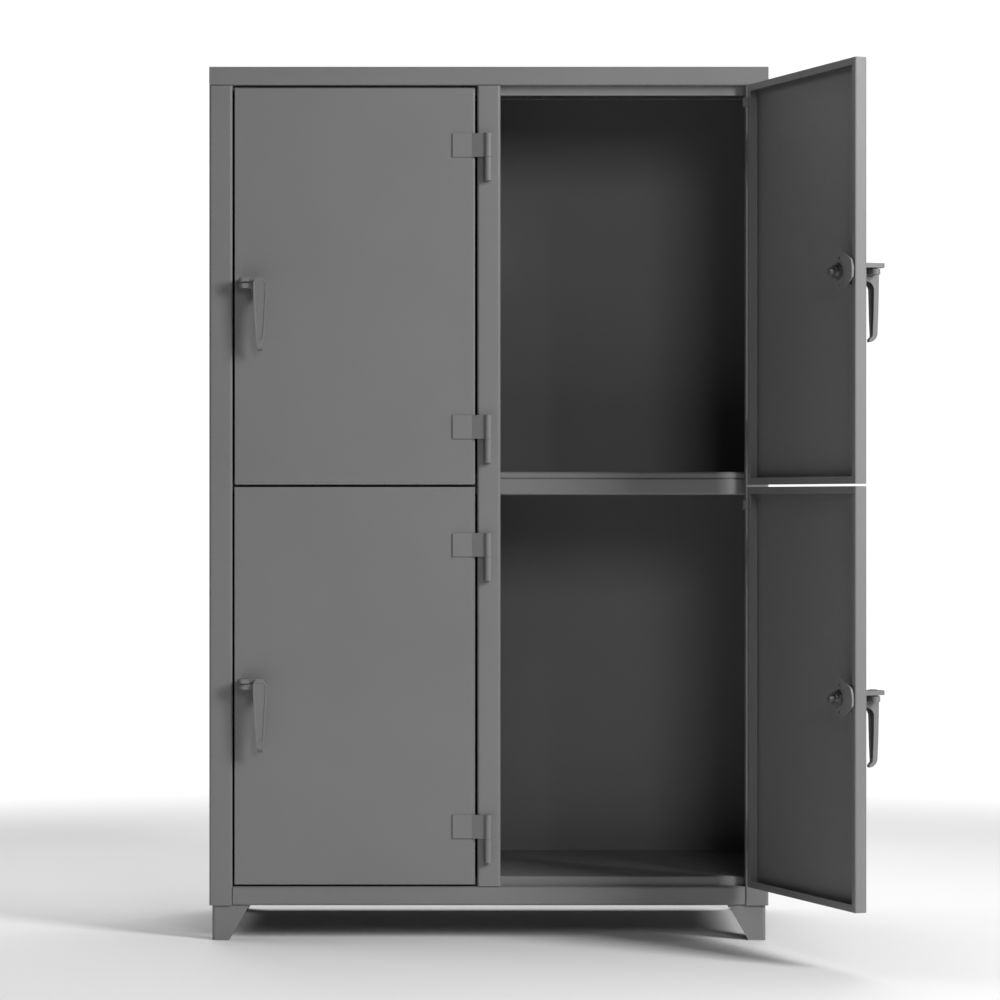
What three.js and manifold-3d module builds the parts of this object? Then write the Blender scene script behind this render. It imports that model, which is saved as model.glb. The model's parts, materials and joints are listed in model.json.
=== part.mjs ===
// A welded sheet-steel locker cabinet: two bays wide and two tiers high, with four lift-off doors.
// Millimetres, +Z up. The cabinet faces -Y, and +X is to the right of someone who faces it.
// The model is worked out about the middle of its footprint on the floor. At the end it is
// shifted so that the origin is the middle of the rear left foot's sole.

import * as THREE from 'three';
import { mergeVertices } from 'three/addons/utils/BufferGeometryUtils.js';
import Module from 'manifold-3d';

// Overall size
const WIDTH = 1219.2;
const DEPTH = 609.6;
const HEIGHT = 1905;
const LEG_HEIGHT = 76.2;

// Sheet metal
const SHEET = 2.7;
const BEND_RADIUS = 3;
const BEND_STEPS = 3;
const SEAM = 0.3;

// Front frame
const POST_WIDTH = 50.8;
const POST_DEPTH = 28;
const POST_LIP = 15;
const RAIL_HEIGHT = 41.3;
const STOP_HEIGHT = 19;
const FLOOR_RISE = 20;

// Tier shelf
const TIER_TOP_ABOVE_MIDDLE = 31;
const TIER_HEM = 13;
const TIER_RAIL_HEIGHT = 37.5;
const TIER_RAIL_RETURN = 18;
const SHELF_BACK_FLANGE = 20;

// Doors
const DOOR_GAP = 4.8;
const DOOR_DEPTH = 25.4;
const DOOR_LIP = 15;
const RIGHT_DOORS_OPEN = THREE.MathUtils.degToRad(110.7);

// Hinges
const KNUCKLE_RADIUS = 8;
const KNUCKLE_LENGTH = 52;
const KNUCKLE_GAP = 0.4;
const PIN_RADIUS = 4;
const PIN_REACH = 42;
const PIN_CLEARANCE = 0.3;
const PIN_FROM_POST_EDGE = 24;
const PIN_IN_FRONT = 11.2;
const LEAF_THICKNESS = 3;
const LEAF_REACH = 77.5;
const LEAF_STEP_START = 35.4;
const HINGE_FROM_DOOR_END = 100;

// Pry lug on each door's hinge side
const LUG_HEIGHT = 20;
const LUG_WIDTH = 9.5;
const LUG_DEPTH = 10;
const LUG_FROM_DOOR_TOP = 29;

// Handle: distances outwards are from the door's outer face
const SPINDLE_FROM_FREE_EDGE = 56;
const SPINDLE_RADIUS = 8;
const COLLAR_RADIUS = 15;
const COLLAR_HEIGHT = 20;
const LEVER_FACE = 50.6;
const LEVER_BACK = 39.6;
const LEVER_TOP = 17;
const LEVER_LENGTH = 143;
const LEVER_TIP_BACK = 33;
const LEVER_TIP_RADIUS = 17;
const LEVER_WALL = 3.5;
const NECK_BOTTOM = 19;
const TAB_REACH = 43;
const TAB_RADIUS = 9.5;
const FIXED_LUG_LEVELS = [7.2, 16.5];
const LEVER_TAB_LEVELS = [-6.5, 4.7];
const LOCK_HOLE_RADIUS = 5;
const LOCK_HOLE_OUT = 32;

// Latch: distances inwards are from the door's outer face
const CAM_IN = 29.6;
const CAM_THICKNESS = 4.4;
const CAM_NOSE = 58.4;
const ROD_HOLE_RADIUS = 3;
const ROD_HOLE_REACH = 28;
const NUT_RADIUS = 18;
const NUT_THICKNESS = 5;
const BOSS_RADIUS = 13.5;
const BOSS_LENGTH = 8;
const SPINDLE_END_IN = 58;

// Legs
const LEG_INSET = 5.8;
const LEG_PLATE = 4.8;
const LEG_TOP_WIDTH = 81;
const LEG_FOOT_WIDTH = 37.5;

// Places that follow from the sizes
const LEFT = -WIDTH / 2;
const RIGHT = WIDTH / 2;
const FRONT = -DEPTH / 2;
const BACK = DEPTH / 2;
const OPENING_BOTTOM = LEG_HEIGHT + RAIL_HEIGHT;
const OPENING_TOP = HEIGHT - RAIL_HEIGHT;
const OPENING_MIDDLE = (OPENING_BOTTOM + OPENING_TOP) / 2;
const FLOOR_TOP = OPENING_BOTTOM + FLOOR_RISE;
const STOP_FACE = FRONT + POST_DEPTH + SEAM;
const INSIDE_WALL = RIGHT - SHEET;
const SHELF_BACK = BACK - SHEET - SEAM;
const BAY_WIDTH = (WIDTH - 3 * POST_WIDTH) / 2;
const DOOR_WIDTH = BAY_WIDTH - 2 * DOOR_GAP;
const DOOR_HEIGHT = (OPENING_TOP - OPENING_BOTTOM - 3 * DOOR_GAP) / 2;
const LOWER_DOOR_BOTTOM = OPENING_BOTTOM + DOOR_GAP;
const UPPER_DOOR_BOTTOM = LOWER_DOOR_BOTTOM + DOOR_HEIGHT + DOOR_GAP;
const PIN_Y = FRONT - PIN_IN_FRONT;
const HINGE_EDGE = -(PIN_FROM_POST_EDGE + DOOR_GAP);
const FREE_EDGE = HINGE_EDGE - DOOR_WIDTH;
const SPINDLE_X = FREE_EDGE + SPINDLE_FROM_FREE_EDGE;

const wasm = await Module();
wasm.setup();

function paint(color, roughness, metalness) {
  return new THREE.MeshStandardMaterial({ color, roughness, metalness, flatShading: true });
}

const cabinetPaint = paint(0x75777a, 0.55, 0.1);
const doorPaint = paint(0x76787b, 0.55, 0.1);
const hingePaint = paint(0x737578, 0.5, 0.15);
const castPaint = paint(0x707276, 0.5, 0.15);
const platedSteel = paint(0x8d8f92, 0.4, 0.8);

// Solids from three.js geometry, and back

function solid(geometry) {
  const bare = geometry.clone();
  bare.deleteAttribute('normal');
  bare.deleteAttribute('uv');
  const merged = mergeVertices(bare, 1e-4);
  return new wasm.Manifold(new wasm.Mesh({
    numProp: 3,
    vertProperties: new Float32Array(merged.attributes.position.array),
    triVerts: new Uint32Array(merged.index.array),
  }));
}

function surface(body) {
  const mesh = body.getMesh();
  const geometry = new THREE.BufferGeometry();
  geometry.setAttribute('position', new THREE.BufferAttribute(mesh.vertProperties, 3));
  geometry.setIndex(new THREE.BufferAttribute(mesh.triVerts, 1));
  return geometry;
}

function block([x0, x1], [y0, y1], [z0, z1]) {
  const geometry = new THREE.BoxGeometry(x1 - x0, y1 - y0, z1 - z0);
  geometry.translate((x0 + x1) / 2, (y0 + y1) / 2, (z0 + z1) / 2);
  return solid(geometry);
}

// Extrusions of an outline: up along Z, across along X, and front to back along Y

function extruded(shape, depth) {
  return new THREE.ExtrudeGeometry(shape, { depth, bevelEnabled: false, curveSegments: 12 });
}

function upright(shape, [z0, z1]) {
  return solid(extruded(shape, z1 - z0).translate(0, 0, z0));
}

function across(shape, [x0, x1]) {
  const turn = new THREE.Matrix4().makeBasis(
    new THREE.Vector3(0, 1, 0),
    new THREE.Vector3(0, 0, 1),
    new THREE.Vector3(1, 0, 0),
  );
  return solid(extruded(shape, x1 - x0).applyMatrix4(turn).translate(x0, 0, 0));
}

function frontToBack(shape, [y0, y1]) {
  return solid(extruded(shape, y1 - y0).rotateX(Math.PI / 2).translate(0, y1, 0));
}

function outline(points) {
  return new THREE.Shape(points.map(([x, y]) => new THREE.Vector2(x, y)));
}

function cylinderY(radius, [y0, y1], x, z, sides = 32) {
  const geometry = new THREE.CylinderGeometry(radius, radius, y1 - y0, sides);
  return solid(geometry.translate(x, (y0 + y1) / 2, z));
}

function cylinderZ(radius, [z0, z1], x, y, sides = 24) {
  const geometry = new THREE.CylinderGeometry(radius, radius, z1 - z0, sides);
  return solid(geometry.rotateX(Math.PI / 2).translate(x, y, (z0 + z1) / 2));
}

// The cross-section of a bent sheet, from the line along the middle of its thickness.
// Each corner of the line becomes an arc, and the two sides are offset by half the thickness.
function bentSheet(line, thickness = SHEET, insideRadius = BEND_RADIUS) {
  const middle = line.map(([x, y]) => new THREE.Vector2(x, y));
  const radius = insideRadius + thickness / 2;
  const leftSide = [];
  const rightSide = [];
  const addPair = (point, normal) => {
    leftSide.push(point.clone().addScaledVector(normal, thickness / 2));
    rightSide.push(point.clone().addScaledVector(normal, -thickness / 2));
  };
  const directions = middle.slice(1).map((point, i) => point.clone().sub(middle[i]).normalize());
  const leftOf = (direction) => new THREE.Vector2(-direction.y, direction.x);
  addPair(middle[0], leftOf(directions[0]));
  for (let i = 1; i < middle.length - 1; i += 1) {
    const before = directions[i - 1];
    const after = directions[i];
    const turn = Math.atan2(before.cross(after), before.dot(after));
    const side = Math.sign(turn);
    const setback = radius * Math.tan(Math.abs(turn) / 2);
    const start = middle[i].clone().addScaledVector(before, -setback);
    const centre = start.clone().addScaledVector(leftOf(before), side * radius);
    for (let step = 0; step <= BEND_STEPS; step += 1) {
      const normal = leftOf(before).rotateAround(new THREE.Vector2(), (turn * step) / BEND_STEPS);
      addPair(centre.clone().addScaledVector(normal, -side * radius), normal);
    }
  }
  addPair(middle[middle.length - 1], leftOf(directions[directions.length - 1]));
  return new THREE.Shape([...rightSide, ...leftSide.reverse()]);
}

const cabinet = new THREE.Group();

function addPart(name, body, material, parent = cabinet) {
  const mesh = new THREE.Mesh(surface(body), material);
  mesh.name = name;
  parent.add(mesh);
  return mesh;
}

// Frame and panels

// The tops of the post lips are cut back here, to clear the bend in the header above them.
function headerRelief() {
  const columns = [-INSIDE_WALL, INSIDE_WALL];
  const rows = [STOP_FACE - BEND_RADIUS - 1, STOP_FACE];
  return block(columns, rows, [OPENING_TOP - BEND_RADIUS - 1, OPENING_TOP]);
}

// A side panel is one sheet: front post face, jamb with its lip, and wall, with an inward flange
// along the bottom that the legs are welded under. The back panel covers its rear edge.
function sidePanel(side) {
  const half = SHEET / 2;
  const wall = RIGHT - half;
  const jamb = RIGHT - POST_WIDTH + half;
  const face = FRONT + half;
  const rear = BACK - SHEET - SEAM;
  const lip = FRONT + POST_DEPTH - half;
  const line = [
    [jamb + POST_LIP, lip],
    [jamb, lip],
    [jamb, face],
    [wall, face],
    [wall, rear],
  ];
  const top = OPENING_TOP - SEAM;
  const sheet = upright(bentSheet(line.map(([x, y]) => [side * x, y])), [LEG_HEIGHT, top]);
  const edges = [side * (RIGHT - POST_WIDTH + 1), side * (wall + half / 2)].sort((a, b) => a - b);
  const rows = [FRONT + SHEET / 4, rear];
  return sheet.subtract(headerRelief()).add(block(edges, rows, [LEG_HEIGHT, LEG_HEIGHT + SHEET]));
}

// The top is a pan. Its front is the header, returned under and turned down as the door stop.
function topPanel() {
  const half = SHEET / 2;
  const line = [
    [STOP_FACE + half, OPENING_TOP - STOP_HEIGHT],
    [STOP_FACE + half, OPENING_TOP + half],
    [FRONT + half, OPENING_TOP + half],
    [FRONT + half, HEIGHT - half],
    [BACK, HEIGHT - half],
  ];
  let pan = across(bentSheet(line), [LEFT, RIGHT]);
  for (const side of [-1, 1]) {
    const ends = [side * INSIDE_WALL, side * RIGHT].sort((a, b) => a - b);
    const rows = [FRONT + BEND_RADIUS + SHEET, BACK - SHEET - SEAM];
    pan = pan.add(block(ends, rows, [OPENING_TOP, HEIGHT - half]));
    const clear = [side * (INSIDE_WALL - SEAM), side * (RIGHT + 1)].sort((a, b) => a - b);
    const stopRows = [STOP_FACE - 5, STOP_FACE + 5];
    pan = pan.subtract(block(clear, stopRows, [OPENING_TOP - STOP_HEIGHT - 1, OPENING_TOP]));
  }
  return pan;
}

// The sill is the front rail under the doors. It fits between the two side posts.
function sill() {
  const half = SHEET / 2;
  const line = [
    [FRONT + POST_DEPTH - SEAM, LEG_HEIGHT + half],
    [FRONT + half, LEG_HEIGHT + half],
    [FRONT + half, OPENING_BOTTOM - half],
    [STOP_FACE - SEAM, OPENING_BOTTOM - half],
  ];
  const end = RIGHT - POST_WIDTH - SEAM;
  return across(bentSheet(line), [-end, end]);
}

// The floor stands above the sill, so its turned-down front edge stops the lower doors.
function floorPanel() {
  const half = SHEET / 2;
  const line = [
    [STOP_FACE + half, LEG_HEIGHT + SHEET + BEND_RADIUS],
    [STOP_FACE + half, FLOOR_TOP - half],
    [SHELF_BACK - half, FLOOR_TOP - half],
    [SHELF_BACK - half, OPENING_BOTTOM - SHELF_BACK_FLANGE],
  ];
  const end = INSIDE_WALL - SEAM;
  return across(bentSheet(line), [-end, end]);
}

// The centre post is a lipped channel between the sill and the header.
function centrePost() {
  const half = SHEET / 2;
  const edge = POST_WIDTH / 2 - half;
  const face = FRONT + half;
  const lip = FRONT + POST_DEPTH - half;
  const line = [
    [edge - POST_LIP, lip],
    [edge, lip],
    [edge, face],
    [-edge, face],
    [-edge, lip],
    [POST_LIP - edge, lip],
  ];
  return upright(bentSheet(line), [OPENING_BOTTOM + SEAM, OPENING_TOP - SEAM])
    .subtract(headerRelief());
}

// The partition runs from inside the centre post to the back, notched for the header's stop.
function partition() {
  const half = SHEET / 2;
  const rows = [FRONT + SHEET + SEAM, BACK - SHEET - SEAM];
  const sheet = block([-half, half], rows, [FLOOR_TOP + SEAM, HEIGHT - SHEET - SEAM]);
  const notchRows = [FRONT - 1, STOP_FACE + SHEET + SEAM];
  const notch = block([-SHEET, SHEET], notchRows, [OPENING_TOP - STOP_HEIGHT - SEAM, HEIGHT]);
  return sheet.subtract(notch);
}

function bayEnds(side) {
  const inner = SHEET / 2 + SEAM;
  const outer = INSIDE_WALL - SEAM;
  return [side * inner, side * outer].sort((a, b) => a - b);
}

function tierShelf(side) {
  const half = SHEET / 2;
  const top = OPENING_MIDDLE + TIER_TOP_ABOVE_MIDDLE;
  const line = [
    [STOP_FACE + half, top - TIER_HEM],
    [STOP_FACE + half, top - half],
    [SHELF_BACK - half, top - half],
    [SHELF_BACK - half, top - SHELF_BACK_FLANGE],
  ];
  return across(bentSheet(line), bayEnds(side));
}

function tierRail(side) {
  const half = SHEET / 2;
  const top = OPENING_MIDDLE + TIER_TOP_ABOVE_MIDDLE - TIER_HEM - SEAM;
  const bottom = top - TIER_RAIL_HEIGHT;
  const line = [
    [STOP_FACE + TIER_RAIL_RETURN, top - half],
    [STOP_FACE + half, top - half],
    [STOP_FACE + half, bottom + half],
    [STOP_FACE + TIER_RAIL_RETURN, bottom + half],
  ];
  return across(bentSheet(line), bayEnds(side));
}

function backPanel() {
  const columns = [LEFT + SEAM, RIGHT - SEAM];
  return block(columns, [BACK - SHEET, BACK], [LEG_HEIGHT, HEIGHT - SHEET - SEAM]);
}

addPart('left_side_panel', sidePanel(-1), cabinetPaint);
addPart('right_side_panel', sidePanel(1), cabinetPaint);
addPart('back_panel', backPanel(), cabinetPaint);
addPart('top_panel', topPanel(), cabinetPaint);
addPart('bottom_sill', sill(), cabinetPaint);
addPart('floor_panel', floorPanel(), cabinetPaint);
addPart('centre_post', centrePost(), cabinetPaint);
addPart('centre_partition', partition(), cabinetPaint);
for (const [name, side] of [['left', -1], ['right', 1]]) {
  addPart(`${name}_tier_shelf`, tierShelf(side), cabinetPaint);
  addPart(`${name}_tier_rail`, tierRail(side), cabinetPaint);
}

// Legs

// One bent plate with two tapering sides, a top plate and a foot. The outer corner is at x = 0,
// y = 0, and the sides run along +X and +Y.
function leg() {
  const half = LEG_PLATE / 2;
  const top = LEG_HEIGHT - SEAM;
  const angle = bentSheet([[LEG_TOP_WIDTH, half], [half, half], [half, LEG_TOP_WIDTH]], LEG_PLATE);
  const taper = outline([[0, 0], [LEG_FOOT_WIDTH, 0], [LEG_TOP_WIDTH, top], [0, top]]);
  const reach = [-1, LEG_TOP_WIDTH + 1];
  const inside = [LEG_PLATE / 2, LEG_TOP_WIDTH];
  const foot = [LEG_PLATE / 2, LEG_FOOT_WIDTH];
  return upright(angle, [0, top])
    .intersect(frontToBack(taper, reach))
    .intersect(across(taper, reach))
    .add(block(inside, inside, [top - LEG_PLATE, top]))
    .add(block(foot, foot, [0, LEG_PLATE]));
}

const legCorners = [
  ['front_left_leg', LEFT + LEG_INSET, FRONT + LEG_INSET, 0],
  ['front_right_leg', RIGHT - LEG_INSET, FRONT + LEG_INSET, 1],
  ['rear_right_leg', RIGHT - LEG_INSET, BACK - LEG_INSET, 2],
  ['rear_left_leg', LEFT + LEG_INSET, BACK - LEG_INSET, 3],
];
for (const [name, x, y, quarterTurns] of legCorners) {
  const mesh = addPart(name, leg(), cabinetPaint);
  mesh.position.set(x, y, 0);
  mesh.rotation.z = (quarterTurns * Math.PI) / 2;
}

// Hinges: in each door's own frame the hinge line is x = 0, y = 0, and the door runs to -X

// The lower knuckle is welded to the post, and carries the pin.
function frameKnuckle(z) {
  const pad = block([-5, 5], [0, PIN_IN_FRONT - SEAM], [z, z + KNUCKLE_LENGTH]);
  const pinTop = z + KNUCKLE_LENGTH + PIN_REACH;
  return cylinderZ(KNUCKLE_RADIUS, [z, z + KNUCKLE_LENGTH], 0, 0)
    .add(pad)
    .add(cylinderZ(PIN_RADIUS, [z + KNUCKLE_LENGTH - 1, pinTop], 0, 0));
}

// The upper knuckle and its leaf are one piece. The leaf lies on the door and steps out to the pin.
function hingeLeaf(z) {
  const onDoor = PIN_IN_FRONT - SEAM - LEAF_THICKNESS / 2;
  const line = [[-LEAF_REACH, onDoor], [-LEAF_STEP_START, onDoor], [-PIN_RADIUS - 2, -0.5]];
  const rows = [z, z + KNUCKLE_LENGTH - KNUCKLE_GAP];
  const bore = [z - 1, z + PIN_REACH + KNUCKLE_GAP];
  return upright(bentSheet(line, LEAF_THICKNESS), rows)
    .add(cylinderZ(KNUCKLE_RADIUS, rows, 0, 0))
    .subtract(cylinderZ(PIN_RADIUS + PIN_CLEARANCE, bore, 0, 0));
}

// Door pan: a sheet with flanges on four sides, and a narrow lip turned in along each flange
function doorPan(bottom) {
  const face = PIN_IN_FRONT;
  const columns = [FREE_EDGE, HINGE_EDGE];
  const rows = [face, face + DOOR_DEPTH];
  const levels = [bottom, bottom + DOOR_HEIGHT];
  const shrink = ([low, high], by) => [low + by, high - by];
  const hollow = block(shrink(columns, SHEET), shrink(rows, SHEET), shrink(levels, SHEET));
  const openBack = [face + DOOR_DEPTH / 2, face + DOOR_DEPTH + 1];
  const window = block(shrink(columns, DOOR_LIP), openBack, shrink(levels, DOOR_LIP));
  const spindleHole = cylinderY(SPINDLE_RADIUS + 1, [face - 1, face + 5],
    SPINDLE_X, bottom + DOOR_HEIGHT / 2);
  return block(columns, rows, levels).subtract(hollow).subtract(window).subtract(spindleHole);
}

function pryLug(bottom) {
  const top = bottom + DOOR_HEIGHT - LUG_FROM_DOOR_TOP;
  const back = PIN_IN_FRONT + DOOR_DEPTH + SEAM;
  return block([HINGE_EDGE - LUG_WIDTH, HINGE_EDGE], [back, back + LUG_DEPTH], [top - LUG_HEIGHT, top]);
}

// Handle pieces: x and z are from the spindle's line, and y is from the door's outer face

// A padlock lug: a level tongue with a round end and a hole. It runs from x = root to its reach,
// and its hole is LOCK_HOLE_OUT from the door.
function padlockLug([z0, z1], root) {
  const endCentre = -TAB_REACH + TAB_RADIUS;
  const tongue = new THREE.Shape();
  tongue.moveTo(root, -LOCK_HOLE_OUT + TAB_RADIUS);
  tongue.lineTo(endCentre, -LOCK_HOLE_OUT + TAB_RADIUS);
  tongue.absarc(endCentre, -LOCK_HOLE_OUT, TAB_RADIUS, Math.PI / 2, 1.5 * Math.PI, false);
  tongue.lineTo(root, -LOCK_HOLE_OUT - TAB_RADIUS);
  return upright(tongue, [z0, z1])
    .subtract(cylinderZ(LOCK_HOLE_RADIUS, [z0 - 1, z1 + 1], endCentre, -LOCK_HOLE_OUT));
}

// The fixed casting on the door: the spindle's collar, and a lug that a padlock goes through.
function escutcheon() {
  const [low, high] = FIXED_LUG_LEVELS;
  const columns = [-TAB_REACH, -TAB_REACH + 22];
  const lug = new THREE.Shape();
  lug.moveTo(columns[0], -SEAM);
  lug.lineTo(columns[0], -LEVER_FACE + 8);
  lug.absarc(columns[0] + 8, -LEVER_FACE + 8, 8, Math.PI, 1.5 * Math.PI, false);
  lug.lineTo(columns[1], -LEVER_FACE);
  lug.lineTo(columns[1], -SEAM);
  const web = block([columns[1] - 1, -COLLAR_RADIUS / 2], [-COLLAR_HEIGHT, -SEAM], [low, high - 4]);
  const lockHole = [-TAB_REACH + TAB_RADIUS, -LOCK_HOLE_OUT];
  return cylinderY(COLLAR_RADIUS, [-COLLAR_HEIGHT, -SEAM], 0, 0)
    .add(upright(lug, [low, high]))
    .add(web)
    .subtract(cylinderY(SPINDLE_RADIUS + SEAM, [-COLLAR_HEIGHT - 1, 1], 0, 0))
    .subtract(cylinderZ(LOCK_HOLE_RADIUS, [low - 1, high + 1], ...lockHole));
}

// The lever hangs from the spindle by a neck with an arched underside. Below the neck it is a
// tapered channel, open towards the door, with its tip turned in. Its own padlock lug is just
// below the fixed one.
function handleLever() {
  const front = outline([
    [-6, LEVER_TOP], [-13, 6], [-13, -10], [-10, -80], [-6, -126], [-2.5, -LEVER_LENGTH],
    [7.5, -LEVER_LENGTH], [9.5, -126], [12.5, -95], [17.5, -10], [18.5, 4], [6, LEVER_TOP],
  ]);
  const neckBack = -COLLAR_HEIGHT - 0.6;
  const arch = LEVER_BACK + neckBack;
  const tipCentre = -LEVER_LENGTH + LEVER_TIP_RADIUS;
  const side = new THREE.Shape();
  side.moveTo(neckBack, LEVER_TOP - 4);
  side.lineTo(-LEVER_BACK, LEVER_TOP);
  side.lineTo(-LEVER_FACE, LEVER_TOP);
  side.lineTo(-LEVER_FACE, tipCentre);
  side.absarc(-LEVER_FACE + LEVER_TIP_RADIUS, tipCentre, LEVER_TIP_RADIUS, Math.PI, 1.5 * Math.PI, false);
  side.lineTo(-LEVER_TIP_BACK, -LEVER_LENGTH + 5);
  side.lineTo(-LEVER_BACK, -LEVER_LENGTH + 12);
  side.lineTo(-LEVER_BACK, -NECK_BOTTOM - arch);
  side.absarc(neckBack, -NECK_BOTTOM - arch, arch, Math.PI, Math.PI / 2, true);
  const hollowTop = 2 - NECK_BOTTOM;
  const hollowFront = outline([
    [-9.5, hollowTop], [-6.5, -80], [-3, -124], [6, -124], [9, -95], [14, hollowTop],
  ]);
  const depth = [-LEVER_FACE, neckBack];
  const hollowDepth = [-LEVER_FACE + LEVER_WALL, neckBack + 1];
  const bore = [-LEVER_FACE + LEVER_WALL, -COLLAR_HEIGHT];
  return frontToBack(front, depth)
    .intersect(across(side, [-40, 40]))
    .subtract(frontToBack(hollowFront, hollowDepth))
    .add(padlockLug(LEVER_TAB_LEVELS, -5))
    .subtract(cylinderY(SPINDLE_RADIUS + SEAM, bore, 0, 0));
}

function spindle() {
  return cylinderY(SPINDLE_RADIUS, [-LEVER_FACE + LEVER_WALL + SEAM, SPINDLE_END_IN], 0, 0);
}

// The cam turns with the spindle, behind the jamb's depth. Its sloping edge leads the nose in.
function latchCam() {
  const shape = new THREE.Shape();
  shape.moveTo(9, 36);
  shape.lineTo(-5, 43);
  shape.lineTo(-16, 38.8);
  shape.lineTo(-52, 22.4);
  shape.absarc(0, 0, CAM_NOSE, Math.PI * 0.944, Math.PI * 1.08, false);
  shape.lineTo(-18, -36);
  shape.lineTo(9, -36);
  shape.lineTo(14, 0);
  let plate = frontToBack(shape, [CAM_IN, CAM_IN + CAM_THICKNESS]);
  const through = [CAM_IN - 1, CAM_IN + CAM_THICKNESS + 1];
  plate = plate.subtract(cylinderY(SPINDLE_RADIUS + SEAM, through, 0, 0));
  for (const z of [-ROD_HOLE_REACH, ROD_HOLE_REACH]) {
    plate = plate.subtract(cylinderY(ROD_HOLE_RADIUS, through, 0, z, 16));
  }
  return plate;
}

function camNut() {
  const start = CAM_IN + CAM_THICKNESS + SEAM;
  const flangeEnd = start + NUT_THICKNESS;
  return cylinderY(NUT_RADIUS, [start, flangeEnd], 0, 0, 6)
    .add(cylinderY(BOSS_RADIUS, [flangeEnd - 1, flangeEnd + BOSS_LENGTH], 0, 0))
    .subtract(cylinderY(SPINDLE_RADIUS + SEAM, [start - 1, flangeEnd + BOSS_LENGTH + 1], 0, 0));
}

// A door with its hinges and handle, on the pin line at x
function addDoor(name, pinX, bottom, openAngle) {
  const door = new THREE.Group();
  door.position.set(pinX, PIN_Y, 0);
  door.rotation.z = openAngle;
  cabinet.add(door);
  addPart(`${name}_door_pan`, doorPan(bottom), doorPaint, door);
  addPart(`${name}_pry_lug`, pryLug(bottom), doorPaint, door);
  const top = bottom + DOOR_HEIGHT;
  const leafBottoms = {
    top: top - HINGE_FROM_DOOR_END - KNUCKLE_LENGTH + KNUCKLE_GAP,
    bottom: bottom + HINGE_FROM_DOOR_END + KNUCKLE_GAP,
  };
  for (const [place, z] of Object.entries(leafBottoms)) {
    addPart(`${name}_${place}_hinge_leaf`, hingeLeaf(z), hingePaint, door);
    const knuckleBottom = z - KNUCKLE_GAP - KNUCKLE_LENGTH;
    const knuckle = addPart(`${name}_${place}_frame_knuckle`, frameKnuckle(knuckleBottom), hingePaint);
    knuckle.position.set(pinX, PIN_Y, 0);
  }
  const handle = new THREE.Group();
  handle.position.set(SPINDLE_X, PIN_IN_FRONT, bottom + DOOR_HEIGHT / 2);
  door.add(handle);
  addPart(`${name}_escutcheon`, escutcheon(), castPaint, handle);
  addPart(`${name}_handle`, handleLever(), castPaint, handle);
  addPart(`${name}_spindle`, spindle(), platedSteel, handle);
  addPart(`${name}_latch_cam`, latchCam(), hingePaint, handle);
  addPart(`${name}_cam_nut`, camNut(), platedSteel, handle);
}

const leftPin = -POST_WIDTH / 2 + PIN_FROM_POST_EDGE;
const rightPin = RIGHT - POST_WIDTH + PIN_FROM_POST_EDGE;
addDoor('upper_left', leftPin, UPPER_DOOR_BOTTOM, 0);
addDoor('lower_left', leftPin, LOWER_DOOR_BOTTOM, 0);
addDoor('upper_right', rightPin, UPPER_DOOR_BOTTOM, RIGHT_DOORS_OPEN);
addDoor('lower_right', rightPin, LOWER_DOOR_BOTTOM, RIGHT_DOORS_OPEN);

// The origin is the middle of the rear left foot's sole
const footMiddle = LEG_INSET + LEG_FOOT_WIDTH / 2;
cabinet.position.set(-(LEFT + footMiddle), -(BACK - footMiddle), 0);

const group = new THREE.Group();
group.add(cabinet);

export default group;
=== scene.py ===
"""A grey steel locker cabinet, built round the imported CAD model.

The row frame is in metres: +Z up, doors towards -Y, +X to the right of someone who faces them.
Each door's own pieces are made in that door's frame, where the hinge line is x = 0, y = 0, the
door runs to -X, and -Y is outwards. The frame then turns with the door.
"""

import json
import math

import bmesh
import bpy
from mathutils import Matrix, Vector


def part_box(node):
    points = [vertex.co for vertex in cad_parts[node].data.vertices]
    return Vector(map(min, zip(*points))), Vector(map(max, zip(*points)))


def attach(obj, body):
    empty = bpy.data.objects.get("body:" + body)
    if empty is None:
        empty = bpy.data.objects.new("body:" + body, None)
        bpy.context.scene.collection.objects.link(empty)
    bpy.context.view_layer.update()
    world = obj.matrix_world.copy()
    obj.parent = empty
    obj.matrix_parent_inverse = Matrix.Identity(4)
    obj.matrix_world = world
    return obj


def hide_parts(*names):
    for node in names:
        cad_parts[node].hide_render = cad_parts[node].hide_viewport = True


MM = 0.001

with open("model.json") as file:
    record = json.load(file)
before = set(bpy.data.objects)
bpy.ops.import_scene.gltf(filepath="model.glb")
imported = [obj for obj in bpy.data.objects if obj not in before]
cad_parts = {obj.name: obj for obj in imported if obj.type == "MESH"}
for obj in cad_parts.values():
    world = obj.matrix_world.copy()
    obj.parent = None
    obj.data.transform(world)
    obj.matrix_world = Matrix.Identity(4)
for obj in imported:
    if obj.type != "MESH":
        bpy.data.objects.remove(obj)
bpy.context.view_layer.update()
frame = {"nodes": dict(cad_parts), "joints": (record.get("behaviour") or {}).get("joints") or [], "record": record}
nodes = frame["nodes"]
joints = {joint["name"]: joint for joint in frame["joints"]}
scene = bpy.context.scene

CABINET = "cabinet"
DOORS = ("upper_left", "lower_left", "upper_right", "lower_right")

# Paint and plating, as linear colours
PAINT_GREY = (0.170, 0.170, 0.170)
CAST_GREY = (0.165, 0.165, 0.165)
ZINC_GREY = (0.20, 0.20, 0.20)
PAPER_WHITE = (0.86, 0.86, 0.86)

# Folded sheets, in millimetres: the outer radius of a bend, the radius inside it and along a narrow lip,
# how wide a lip may be, the widest face that is a sheet's cut edge, and how far such an edge is broken
BEND_OUTSIDE = 3.8
BEND_TIGHT = 1.2
LIP_WIDTH = 21
CUT_EDGE = 3.2
CUT_BREAK = 0.3

# Edges flatter than this are left alone by a bevel
SHARP = math.radians(35)

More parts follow.
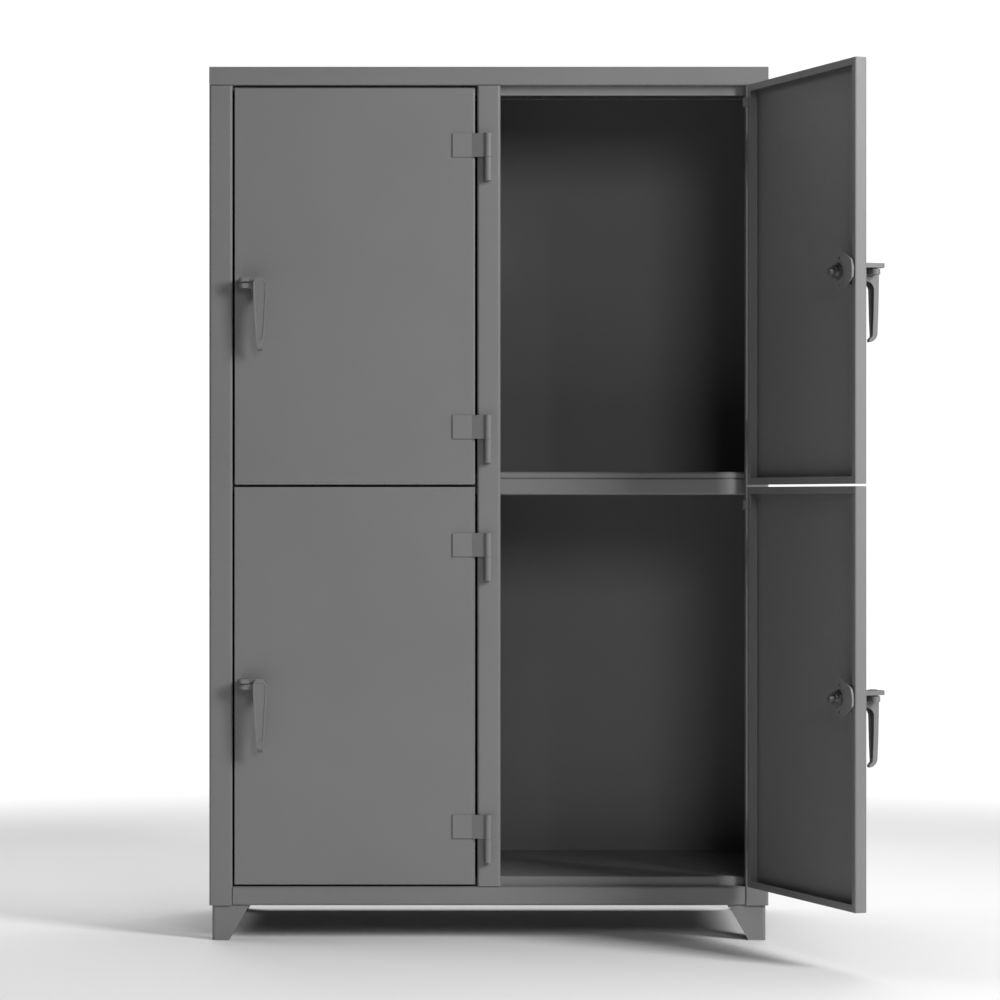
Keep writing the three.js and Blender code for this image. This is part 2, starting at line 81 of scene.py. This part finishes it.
# Weld beads at the corners of a door's lips, in millimetres
BEAD_RADIUS = 1.1
BEAD_SINK = 0.6
BEAD_FROM = 3.5
BEAD_TO = 13.5
RIPPLE = 0.8
BEAD_SIDES = 10

# Fixings on the screws that hold each handle, inside the door, in millimetres
DOOR_SKIN = 2.7
SCREW_OFF_CENTRE = 22
WASHER_THICKNESS = 1.6
NUT_RADIUS = 5.8
NUT_THICKNESS = 5

# The recess down a lever's face, in millimetres: its depth, and its outline as (x, z) from the spindle
RECESS_DEPTH = 1.1
RECESS_OUTLINE = [
    (-8.5, 8),
    (-9, -8),
    (-6.5, -80),
    (-3.2, -118),
    (6.6, -118),
    (9, -92),
    (13.5, -8),
    (14, 3),
    (8.5, 8),
]

# Camera, in metres, with its lens in millimetres
CAMERA_DISTANCE = 7.7
CAMERA_HEIGHT = 0.96
CAMERA_SIDE = 0.0243
LENS = 127.2

# Studio: the backdrop's brightness, and how far from the object the paper starts and ends its fade to it, a
# painted glow as bright as the backdrop
WHITE = 1.05
PAPER_GLOW_FROM = 2.3
PAPER_GLOW_TO = 4.0
PAPER_RADIUS = 4.2


# --- Node trees ---------------------------------------------------------------------------------

def new_material(name):
    """A material with only a Principled BSDF and an output, and its tree and shader."""
    material = bpy.data.materials.new(name)
    material.use_nodes = True
    tree = material.node_tree
    return material, tree, tree.nodes["Principled BSDF"]


def link(tree, a, b):
    tree.links.new(a, b)


def noise(tree, scale, detail=2.0, roughness=0.5):
    """Noise in object coordinates, with scale in cycles per metre."""
    places = tree.nodes.new("ShaderNodeTexCoord")
    texture = tree.nodes.new("ShaderNodeTexNoise")
    texture.inputs["Scale"].default_value = scale
    texture.inputs["Detail"].default_value = detail
    texture.inputs["Roughness"].default_value = roughness
    link(tree, places.outputs["Object"], texture.inputs["Vector"])
    return texture.outputs["Fac"]


def spread(tree, value, low, high):
    """Maps a noise's usual range to low..high."""
    node = tree.nodes.new("ShaderNodeMapRange")
    node.inputs["From Min"].default_value = 0.3
    node.inputs["From Max"].default_value = 0.7
    node.inputs["To Min"].default_value = low
    node.inputs["To Max"].default_value = high
    link(tree, value, node.inputs["Value"])
    return node.outputs["Result"]


def shade_of(tree, colour, value):
    """The colour, made lighter or darker by a value near 1."""
    node = tree.nodes.new("ShaderNodeMix")
    node.data_type = "RGBA"
    node.blend_type = "MULTIPLY"
    node.inputs["Factor"].default_value = 1.0
    node.inputs["A"].default_value = (*colour, 1.0)
    link(tree, value, node.inputs["B"])
    return node.outputs["Result"]


def bump(tree, shader, height, distance, before=None):
    """Adds a bump, its depth in metres, on top of the normal from an earlier one."""
    node = tree.nodes.new("ShaderNodeBump")
    node.inputs["Strength"].default_value = 1.0
    node.inputs["Distance"].default_value = distance
    link(tree, height, node.inputs["Height"])
    if before is not None:
        link(tree, before, node.inputs["Normal"])
    link(tree, node.outputs["Normal"], shader.inputs["Normal"])
    return node.outputs["Normal"]


def powder_coat(name, colour, roughness, peel=0.05 * MM, waves=0.0):
    """Satin powder coat: fine orange peel, slow changes of tone, and a slightly uneven sheen."""
    material, tree, shader = new_material(name)
    tone = spread(tree, noise(tree, 2.5, 3.0), 0.965, 1.035)
    link(tree, shade_of(tree, colour, tone), shader.inputs["Base Color"])
    sheen = spread(tree, noise(tree, 40.0, 3.0), roughness - 0.04, roughness + 0.04)
    link(tree, sheen, shader.inputs["Roughness"])
    shader.inputs["Specular IOR Level"].default_value = 0.5
    peel_normal = bump(tree, shader, noise(tree, 420.0, 2.0, 0.4), peel)
    if waves:
        bump(tree, shader, noise(tree, 5.0, 1.0), waves, before=peel_normal)
    return material


def plated_steel(name):
    """Dull zinc plate with fine scratches and a patchy sheen."""
    material, tree, shader = new_material(name)
    shader.inputs["Metallic"].default_value = 1.0
    tone = spread(tree, noise(tree, 120.0, 4.0), 0.85, 1.1)
    link(tree, shade_of(tree, ZINC_GREY, tone), shader.inputs["Base Color"])
    link(tree, spread(tree, noise(tree, 300.0, 3.0), 0.5, 0.68), shader.inputs["Roughness"])
    bump(tree, shader, noise(tree, 1500.0, 2.0), 0.02 * MM)
    return material


def floor_material():
    """Seamless studio paper. Away from the object it glows with painted light, fading in with distance, to merge
    with the backdrop.
    """
    material, tree, shader = new_material("studio_paper")
    tone = spread(tree, noise(tree, 60.0, 3.0), 0.99, 1.0)
    link(tree, shade_of(tree, PAPER_WHITE, tone), shader.inputs["Base Color"])
    shader.inputs["Roughness"].default_value = 0.9
    bump(tree, shader, noise(tree, 900.0, 2.0), 0.05 * MM)
    places = tree.nodes.new("ShaderNodeTexCoord")
    distance = tree.nodes.new("ShaderNodeVectorMath")
    distance.operation = "LENGTH"
    link(tree, places.outputs["Object"], distance.inputs[0])
    fade = tree.nodes.new("ShaderNodeMapRange")
    fade.interpolation_type = "SMOOTHSTEP"
    fade.inputs["From Min"].default_value = PAPER_GLOW_FROM
    fade.inputs["From Max"].default_value = PAPER_GLOW_TO
    link(tree, distance.outputs["Value"], fade.inputs["Value"])
    # Painted light: away from the object the paper glows white, though no lamp lights it
    glow = tree.nodes.new("ShaderNodeEmission")
    glow.inputs["Strength"].default_value = WHITE
    mix = tree.nodes.new("ShaderNodeMixShader")
    link(tree, fade.outputs["Result"], mix.inputs["Fac"])
    link(tree, shader.outputs["BSDF"], mix.inputs[1])
    link(tree, glow.outputs["Emission"], mix.inputs[2])
    link(tree, mix.outputs["Shader"], tree.nodes["Material Output"].inputs["Surface"])
    return material


sheet_paint = powder_coat("sheet_paint", PAINT_GREY, 0.38, waves=0.25 * MM)
hinge_paint = powder_coat("hinge_paint", PAINT_GREY, 0.44)
cast_paint = powder_coat("cast_paint", CAST_GREY, 0.42, peel=0.09 * MM)
zinc = plated_steel("zinc_plate")

MATERIAL_OF_SLOT = {
    "cabinet_paint": sheet_paint,
    "door_paint": sheet_paint,
    "hinge_paint": hinge_paint,
    "cast_paint": cast_paint,
    "plated_steel": zinc,
}


# --- Modifiers ----------------------------------------------------------------------------------

def smooth_by_angle_group(angle):
    """A node group that shades faces smooth, except across edges sharper than the angle."""
    group = bpy.data.node_groups.new("smooth_by_angle", "GeometryNodeTree")
    group.interface.new_socket("Geometry", in_out="INPUT", socket_type="NodeSocketGeometry")
    group.interface.new_socket("Geometry", in_out="OUTPUT", socket_type="NodeSocketGeometry")
    start = group.nodes.new("NodeGroupInput")
    end = group.nodes.new("NodeGroupOutput")
    faces = group.nodes.new("GeometryNodeSetShadeSmooth")
    edges = group.nodes.new("GeometryNodeSetShadeSmooth")
    edges.domain = "EDGE"
    edges.inputs["Shade Smooth"].default_value = False
    edge_angle = group.nodes.new("GeometryNodeInputMeshEdgeAngle")
    sharper = group.nodes.new("FunctionNodeCompare")
    sharper.data_type = "FLOAT"
    sharper.operation = "GREATER_THAN"
    sharper.inputs["B"].default_value = angle
    group.links.new(start.outputs[0], faces.inputs["Geometry"])
    group.links.new(faces.outputs[0], edges.inputs["Geometry"])
    group.links.new(edge_angle.outputs["Unsigned Angle"], sharper.inputs["A"])
    group.links.new(sharper.outputs[0], edges.inputs["Selection"])
    group.links.new(edges.outputs[0], end.inputs[0])
    return group


SMOOTH = smooth_by_angle_group(math.radians(40))


def soften(obj, width, segments=2, clean=True, by_weight=False):
    """Rounds a mesh's sharp edges and shades it smooth, with its flat faces left flat."""
    if clean:
        weld = obj.modifiers.new("weld", "WELD")
        weld.merge_threshold = 0.01 * MM
        planar = obj.modifiers.new("planar", "DECIMATE")
        planar.decimate_type = "DISSOLVE"
        planar.angle_limit = math.radians(0.5)
    bevel = obj.modifiers.new("bevel", "BEVEL")
    bevel.width = width * MM
    bevel.segments = segments
    bevel.limit_method = "WEIGHT" if by_weight else "ANGLE"
    bevel.angle_limit = SHARP
    smooth = obj.modifiers.new("smooth", "NODES")
    smooth.node_group = SMOOTH
    normals = obj.modifiers.new("normals", "WEIGHTED_NORMAL")
    normals.keep_sharp = True


# --- Making pieces ------------------------------------------------------------------------------

def new_piece(name, mesh, body, slot, place=Matrix(), replaced=()):
    """An object from a mesh, in its place, on its body, and painted as its slot says."""
    mesh.transform(place)
    obj = bpy.data.objects.new(name, mesh)
    scene.collection.objects.link(obj)
    mesh.materials.clear()
    mesh.materials.append(MATERIAL_OF_SLOT[slot])
    bpy.context.view_layer.update()
    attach(obj, body)
    if replaced:
        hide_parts(*replaced)
    return obj


def door_place(door):
    """The matrix from a door's own frame to the row frame, at rest."""
    pin = Vector(joints[f"{door}_door_hinge"]["pos_m"])
    outwards = Vector(joints[f"{door}_handle_turn"]["axis"])
    angle = math.atan2(outwards.x, -outwards.y)
    return Matrix.Translation((pin.x, pin.y, 0)) @ Matrix.Rotation(angle, 4, "Z")


def handle_place(door):
    """As door_place, but about the handle: y = 0 is the door's outer face, on the spindle's line."""
    spindle = Vector(joints[f"{door}_handle_turn"]["pos_m"])
    turn = door_place(door).to_quaternion().to_matrix().to_4x4()
    return Matrix.Translation(spindle) @ turn


def clean_copy(node, place):
    """A bmesh of a CAD node with its flat faces merged, moved into the frame of a place."""
    bm = bmesh.new()
    bm.from_mesh(nodes[node].data)
    bmesh.ops.remove_doubles(bm, verts=bm.verts, dist=0.01 * MM)
    every = {"verts": bm.verts[:], "edges": bm.edges[:]}
    bmesh.ops.dissolve_limit(bm, angle_limit=math.radians(0.5), **every)
    bm.transform(place.inverted())
    return bm


def finished(bm, name):
    """The bmesh as a mesh."""
    mesh = bpy.data.meshes.new(name)
    bm.to_mesh(mesh)
    bm.free()
    return mesh


def prism(bm, outline, lift):
    """Adds a closed prism: an outline of 3-D points in order, and the step to its other end."""
    low = [bm.verts.new(Vector(point)) for point in outline]
    high = [bm.verts.new(vert.co + Vector(lift)) for vert in low]
    count = len(low)
    faces = [bm.faces.new(low), bm.faces.new(high)]
    for i in range(count):
        j = (i + 1) % count
        faces.append(bm.faces.new((low[i], low[j], high[j], high[i])))
    bmesh.ops.recalc_face_normals(bm, faces=faces)


def lowest_and_highest(bm):
    """The corners of a bmesh's box."""
    low = Vector(min(v.co[i] for v in bm.verts) for i in range(3))
    high = Vector(max(v.co[i] for v in bm.verts) for i in range(3))
    return low, high


def carved(mesh, cutter, name):
    """The mesh with the cutter's shape taken out of it."""
    target = bpy.data.objects.new("carving", mesh)
    tool = bpy.data.objects.new("cutter", cutter)
    for obj in (target, tool):
        scene.collection.objects.link(obj)
    boolean = target.modifiers.new("boolean", "BOOLEAN")
    boolean.operation = "DIFFERENCE"
    boolean.solver = "EXACT"
    boolean.object = tool
    graph = bpy.context.evaluated_depsgraph_get()
    result = bpy.data.meshes.new_from_object(target.evaluated_get(graph))
    result.name = name
    for obj in (target, tool):
        bpy.data.objects.remove(obj)
    return result


def lathe(profile, name, sides=32):
    """A closed turned shape about the Y axis, from (radius, y) pairs that start and end on it."""
    bm = bmesh.new()
    rings = []
    for radius, y in profile:
        if radius == 0:
            rings.append([bm.verts.new((0, y * MM, 0))])
            continue
        ring = []
        for i in range(sides):
            angle = math.tau * i / sides
            x, z = radius * math.cos(angle), radius * math.sin(angle)
            ring.append(bm.verts.new((x * MM, y * MM, z * MM)))
        rings.append(ring)
    for ring, following in zip(rings, rings[1:]):
        for i in range(sides):
            j = (i + 1) % sides
            corners = [ring[i % len(ring)], ring[j % len(ring)],
                       following[j % len(following)], following[i % len(following)]]
            bm.faces.new(list(dict.fromkeys(corners)))
    bmesh.ops.recalc_face_normals(bm, faces=bm.faces)
    return finished(bm, name)


def weld_bead(start, end, radius, name):
    """A rippled weld bead between two points, in millimetres, with round ends."""
    bm = bmesh.new()
    start, end = Vector(start) * MM, Vector(end) * MM
    along = (end - start).normalized()
    across = along.orthogonal().normalized()
    other = along.cross(across)
    steps = max(8, round((end - start).length / (RIPPLE * MM)))
    rings = []
    for step in range(steps + 1):
        from_end = min(step, steps - step)
        taper = 1.0
        if from_end < 4:
            taper = min(1.0, math.sin(math.pi * from_end / 8 + 0.25))
        ripple = 0.94 + 0.06 * math.cos(step * math.pi)
        size = radius * MM * ripple * taper
        centre = start.lerp(end, step / steps)
        ring = []
        for i in range(BEAD_SIDES):
            angle = math.tau * i / BEAD_SIDES
            outwards = math.cos(angle) * across + math.sin(angle) * other
            ring.append(bm.verts.new(centre + size * outwards))
        rings.append(ring)
    for ring, following in zip(rings, rings[1:]):
        for i in range(BEAD_SIDES):
            bm.faces.new((ring[i], ring[i - 1], following[i - 1], following[i]))
    bm.faces.new(rings[0])
    bm.faces.new(rings[-1])
    bmesh.ops.recalc_face_normals(bm, faces=bm.faces)
    for face in bm.faces:
        face.smooth = True
    return finished(bm, name)


# --- Sheet metal and plain parts ----------------------------------------------------------------

# How far each kind of part's edges are rounded, in millimetres
EDGE_OF_SLOT = {
    "cabinet_paint": 0.3,
    "door_paint": 0.5,
    "hinge_paint": 0.6,
    "cast_paint": 0.7,
    "plated_steel": 0.8,
}

for part in frame["record"]["subparts"]:
    obj = nodes[part["node"]]
    obj.data.materials.clear()
    obj.data.materials.append(MATERIAL_OF_SLOT[part["material_slot"]])
    soften(obj, EDGE_OF_SLOT[part["material_slot"]])


# --- Folded sheets ------------------------------------------------------------------------------

def width_from(face, edge):
    """How far a face reaches from one of its edges."""
    start = edge.verts[0].co
    along = (edge.verts[1].co - start).normalized()
    return max((v.co - start - (v.co - start).dot(along) * along).length for v in face.verts)


def folded_sheet(node, body, slot, place=Matrix()):
    """The node's sheet again, with its bends rounded, and its cut edges only just broken."""
    bm = clean_copy(node, place)
    low, high = lowest_and_highest(bm)
    weight = bm.edges.layers.float.new("bevel_weight_edge")
    for edge in bm.edges:
        if len(edge.link_faces) != 2 or edge.calc_face_angle() < SHARP:
            continue
        narrowest = min(width_from(face, edge) for face in edge.link_faces)
        if narrowest < CUT_EDGE * MM:
            edge[weight] = CUT_BREAK / BEND_OUTSIDE
        elif edge.is_convex and narrowest > LIP_WIDTH * MM:
            edge[weight] = 1.0
        else:
            edge[weight] = BEND_TIGHT / BEND_OUTSIDE
    piece = f"{node}_folded"
    obj = new_piece(piece, finished(bm, piece), body, slot, place, replaced=[node])
    soften(obj, BEND_OUTSIDE, segments=4, clean=False, by_weight=True)
    return low, high


for sheet in ("left_side_panel", "right_side_panel", "centre_post"):
    folded_sheet(sheet, CABINET, "cabinet_paint")


def mitre_welds(door, low, high):
    """Short beads across the lips' corners, inside the pan."""
    y = high.y / MM - BEAD_SINK
    place = door_place(door)
    for i, (x, x_step) in enumerate(((low.x / MM, 1), (high.x / MM, -1))):
        for j, (z, z_step) in enumerate(((low.z / MM, 1), (high.z / MM, -1))):
            start = (x + BEAD_FROM * x_step, y, z + BEAD_FROM * z_step)
            end = (x + BEAD_TO * x_step, y, z + BEAD_TO * z_step)
            mesh = weld_bead(start, end, BEAD_RADIUS, f"{door}_mitre_{i}{j}")
            new_piece(f"{door}_mitre_weld_{i}{j}", mesh, f"{door}_door", "door_paint", place)


for door in DOORS:
    corners = folded_sheet(f"{door}_door_pan", f"{door}_door", "door_paint", door_place(door))
    mitre_welds(door, *corners)


# --- Handles ------------------------------------------------------------------------------------

def recessed_lever():
    """The CAD lever with a shallow tapered recess down its face, as cast."""
    lever = finished(clean_copy("upper_left_handle", handle_place("upper_left")), "lever_body")
    face = min(v.co.y for v in lever.vertices)
    clear = 3 * MM
    outline = [(x * MM, face - clear, z * MM) for x, z in RECESS_OUTLINE]
    bm = bmesh.new()
    prism(bm, outline, (0, clear + RECESS_DEPTH * MM, 0))
    return carved(lever, finished(bm, "recess"), "lever")


def hex_nut(radius, thickness, name):
    """A hexagon nut that stands on y = 0 and points inwards."""
    corners = []
    for i in range(6):
        angle = math.tau * i / 6
        corners.append((radius * MM * math.cos(angle), 0, radius * MM * math.sin(angle)))
    bm = bmesh.new()
    prism(bm, corners, (0, thickness * MM, 0))
    return finished(bm, name)


def screw_end(door, side, seat):
    """The washer, nut and stud end of one of the screws that hold a handle to its door."""
    body = f"{door}_door"
    washer = lathe([(0, 0), (7.5, 0), (7.5, 1.2), (7.1, WASHER_THICKNESS), (0, WASHER_THICKNESS)],
                   f"{door}_{side}_washer")
    new_piece(f"{door}_{side}_washer", washer, body, "plated_steel", seat)
    on_washer = seat @ Matrix.Translation((0, WASHER_THICKNESS * MM, 0))
    nut = hex_nut(NUT_RADIUS, NUT_THICKNESS, f"{door}_{side}_nut")
    nut_piece = new_piece(f"{door}_{side}_fixing_nut", nut, body, "plated_steel", on_washer)
    soften(nut_piece, 0.5, clean=False)
    stud = lathe([(0, 0), (3, 0), (3, 8), (2.4, 8.8), (0, 8.8)], f"{door}_{side}_stud", 20)
    new_piece(f"{door}_{side}_stud_end", stud, body, "plated_steel", on_washer)


lever_mesh = recessed_lever()

for door in DOORS:
    place = handle_place(door)
    lever = new_piece(f"{door}_cast_lever", lever_mesh.copy(), f"{door}_latch", "cast_paint", place,
                      replaced=[f"{door}_handle"])
    soften(lever, 1.1, segments=3, clean=False)
    for sign, side in ((1, "upper"), (-1, "lower")):
        offset = (0, DOOR_SKIN * MM, SCREW_OFF_CENTRE * sign * MM)
        screw_end(door, side, place @ Matrix.Translation(offset))


# --- Stage, camera and light --------------------------------------------------------------------

front_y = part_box("bottom_sill")[0].y
side_low, side_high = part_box("left_side_panel")[0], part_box("right_side_panel")[1]
middle = Vector(((side_low.x + side_high.x) / 2, (side_low.y + side_high.y) / 2, 0))

# Softboxes: name, place, the point it faces, width and height, power in watts, and whether it is seen
# in the paint's sheen. Places are in metres from the middle of the footprint.
SOFTBOXES = [
    ("key", (3.5, -3.6, 2.8), (0, -0.3, 1.0), (1.2, 2.0), 160, False),
    ("key_sheen", (3.5, -3.6, 2.8), (0, -0.3, 1.0), (1.2, 2.0), 100, True),
    ("front", (1.5, -6.5, 2.8), (0, 0, 1.0), (1.6, 1.6), 60, False),
    ("front_sheen", (1.5, -6.5, 2.8), (0, 0, 1.0), (1.6, 1.6), 25, True),
    ("over_back", (0, 2.6, 4.4), (0, 0, 0), (4, 1.5), 120, False),
    ("overhead", (0, 0.6, 5.0), (0, 0, 0), (4, 2), 85, False),
    ("left", (-3.2, 0.9, 3.0), (-0.6, -0.6, 0), (1.6, 1.2), 20, True),
]
FILL = 0.04


def make_floor():
    """A round sheet of studio paper."""
    mesh = bpy.data.meshes.new("studio_floor")
    bm = bmesh.new()
    bmesh.ops.create_circle(bm, cap_ends=True, segments=96, radius=PAPER_RADIUS)
    bm.to_mesh(mesh)
    bm.free()
    floor = bpy.data.objects.new("studio_floor", mesh)
    floor.location = middle
    floor.data.materials.append(floor_material())
    scene.collection.objects.link(floor)


def area_light(name, place, target, size, power, in_sheen):
    """A softbox from its row in the table."""
    light = bpy.data.lights.new(name, "AREA")
    light.shape = "RECTANGLE"
    light.size, light.size_y = size
    light.energy = power
    obj = bpy.data.objects.new(name, light)
    obj.location = middle + Vector(place)
    aim = middle + Vector(target) - obj.location
    obj.rotation_euler = aim.to_track_quat("-Z", "Y").to_euler()
    obj.visible_glossy = in_sheen
    scene.collection.objects.link(obj)


def make_world(camera_white, fill):
    """A white backdrop for the camera, and a dim even light for everything else."""
    world = bpy.data.worlds.new("studio")
    world.use_nodes = True
    tree = world.node_tree
    seen = tree.nodes["Background"]
    seen.inputs["Color"].default_value = (1, 1, 1, 1)
    seen.inputs["Strength"].default_value = camera_white
    dim = tree.nodes.new("ShaderNodeBackground")
    dim.inputs["Color"].default_value = (1, 1, 1, 1)
    dim.inputs["Strength"].default_value = fill
    rays = tree.nodes.new("ShaderNodeLightPath")
    mix = tree.nodes.new("ShaderNodeMixShader")
    link(tree, rays.outputs["Is Camera Ray"], mix.inputs["Fac"])
    link(tree, dim.outputs["Background"], mix.inputs[1])
    link(tree, seen.outputs["Background"], mix.inputs[2])
    link(tree, mix.outputs["Shader"], tree.nodes["World Output"].inputs["Surface"])
    scene.world = world


def make_camera():
    """Looks straight along +Y, from a little to the right of the middle."""
    camera = bpy.data.cameras.new("camera")
    camera.lens = LENS
    camera.clip_end = 100
    obj = bpy.data.objects.new("camera", camera)
    obj.location = (middle.x + CAMERA_SIDE, front_y - CAMERA_DISTANCE, CAMERA_HEIGHT)
    obj.rotation_euler = (math.pi / 2, 0, 0)
    scene.collection.objects.link(obj)
    scene.camera = obj


make_floor()
make_camera()
make_world(WHITE, FILL)
for softbox in SOFTBOXES:
    area_light(*softbox)
scene.view_settings.view_transform = "Standard"
scene.view_settings.look = "None"
